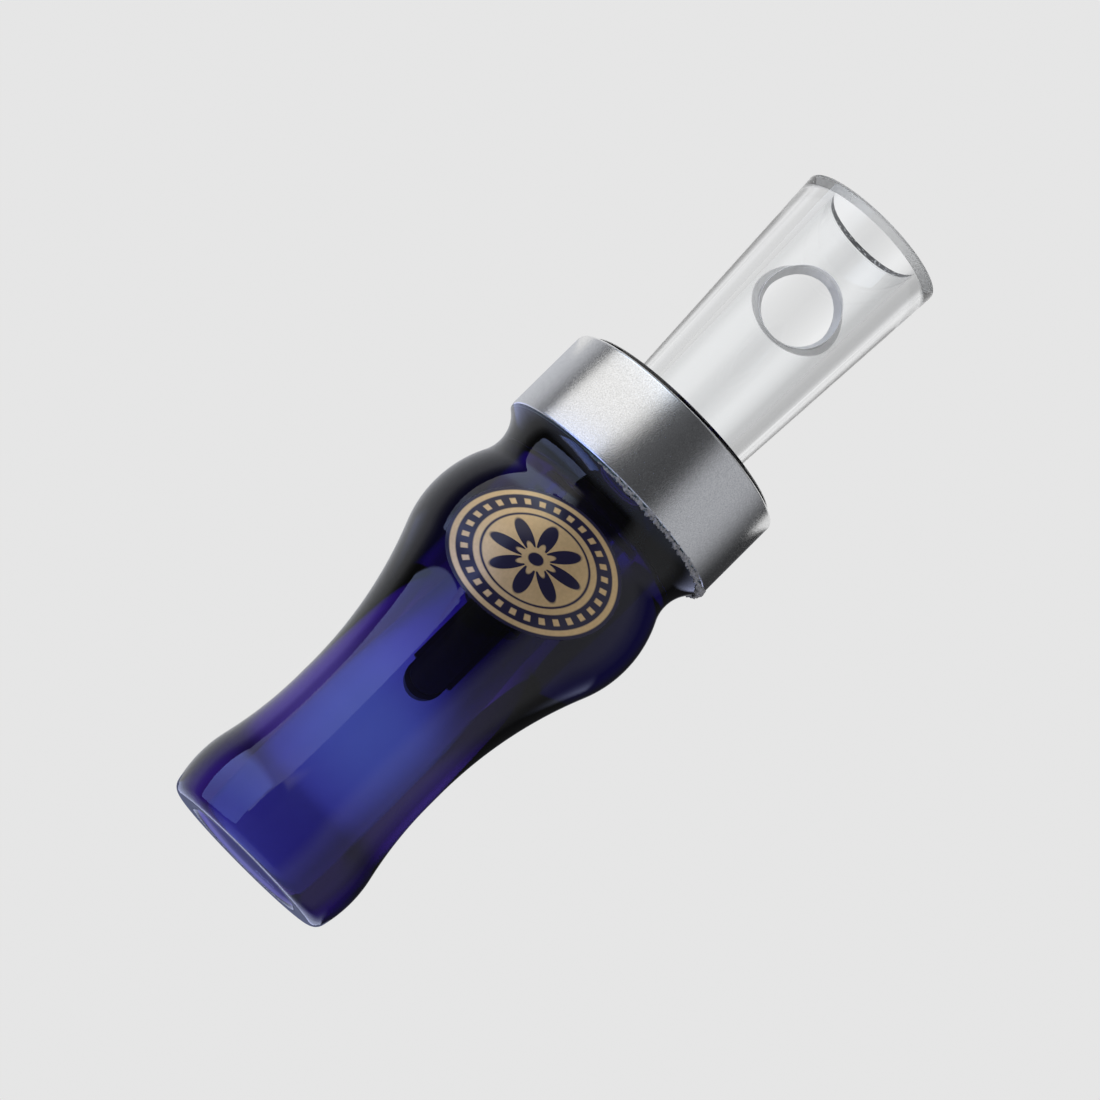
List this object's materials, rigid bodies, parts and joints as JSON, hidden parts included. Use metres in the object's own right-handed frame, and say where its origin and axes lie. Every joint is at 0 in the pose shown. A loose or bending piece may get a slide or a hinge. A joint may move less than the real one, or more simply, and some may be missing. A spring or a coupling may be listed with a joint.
{
  "type": "deer call",
  "caption": "Mouth-blown deer call: turned blue acrylic barrel with a metal band, and a clear bell with a side port that plugs in and carries a reed on a tone board.",
  "frame": {"origin": "centre of the mouth's flat end face, which the call stands on", "axes": "+Z along the call's axis from the mouth to the bell, badge and side port facing -Y"},
  "size_m": [0.035, 0.0352, 0.1167],
  "materials": {
    "blue_acrylic": "polished, translucent",
    "satin_aluminium": "bead-blasted satin",
    "gold_print": "printed transfer under clear coat",
    "clear_acrylic": "polished, clear",
    "seal_rubber": "smooth rubber",
    "board_plastic": "machined matt black",
    "reed_film": "smoky polyester film",
    "cork": "cut cork"
  },
  "bodies": {
    "barrel": {"barrel": "blue_acrylic", "band": "satin_aluminium", "badge": "gold_print"},
    "seals": {"front_seal_ring": "seal_rubber", "rear_seal_ring": "seal_rubber"},
    "insert": {"insert": "clear_acrylic", "tone_board": "board_plastic", "reed_wedge": "cork"},
    "tuner": {"tuning_ring": "seal_rubber"},
    "reed": {"reed": "reed_film"}
  },
  "joints": [
    {"name": "insert_pull", "type": "slide", "parent": "barrel", "child": "seals", "axis": [0, 0, 1], "range_m": [0, 0.055]},
    {"name": "insert_turn", "type": "hinge", "parent": "seals", "child": "insert", "pos_m": [0, 0, 0.0799], "axis": [0, 0, 1], "continuous": true},
    {"name": "tuning_slide", "type": "slide", "parent": "insert", "child": "tuner", "axis": [0, 0, 1], "range_m": [-0.003, 0.004]},
    {"name": "reed_flex", "type": "hinge", "parent": "insert", "child": "reed", "pos_m": [0, -0.0002, 0.0467], "axis": [1, 0, 0], "range_deg": [-2, 2.8], "stiffness_Nm_per_rad": 0.011, "deforming": ["reed"]}
  ]
}
